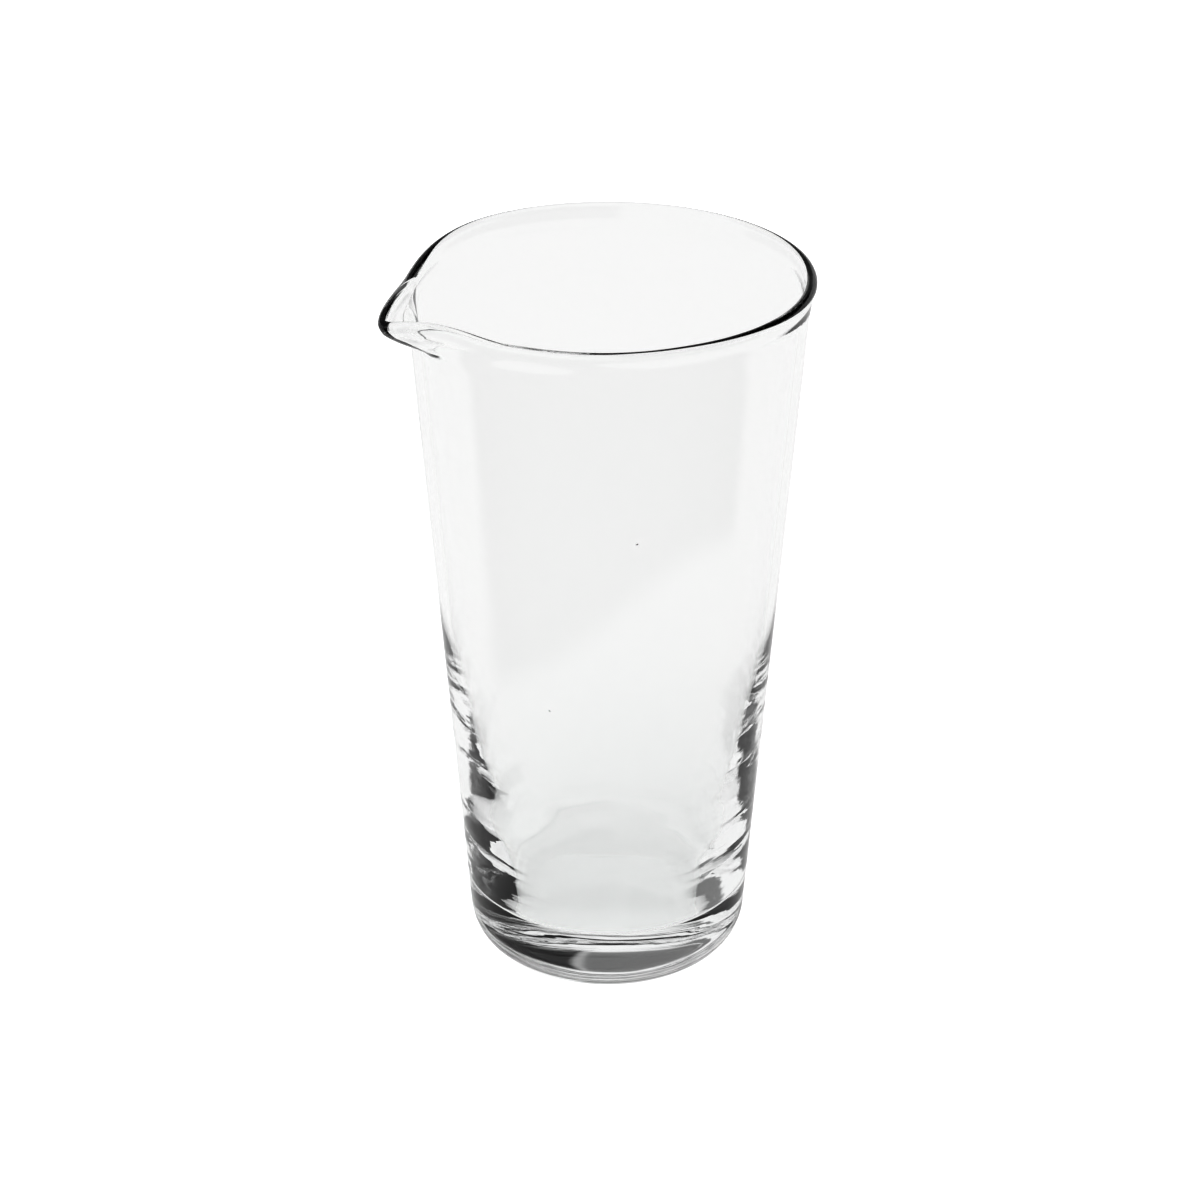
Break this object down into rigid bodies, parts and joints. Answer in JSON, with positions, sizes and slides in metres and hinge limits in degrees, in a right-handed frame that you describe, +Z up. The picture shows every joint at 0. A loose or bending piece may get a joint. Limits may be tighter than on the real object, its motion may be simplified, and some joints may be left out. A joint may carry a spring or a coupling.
{
  "type": "glass pouring beaker",
  "caption": "Tall tapered beaker of clear glass with a thick base, rounded heel, fire-polished rim and a pulled pouring lip, for mixing and pouring liquids.",
  "frame": {"origin": "centre of the flat foot, on the plane the beaker stands on", "axes": "+Z up along the vessel's axis; -X towards the pouring lip; the XZ plane runs through the axis and the lip's tip"},
  "size_m": [0.1017, 0.0922, 0.168],
  "materials": {
    "clear_glass": "clear colourless soda-lime glass, smooth and fire-polished, with faint ripples and a few tiny seeds"
  },
  "bodies": {
    "root": {"glass_body": "clear_glass"}
  },
  "joints": []
}
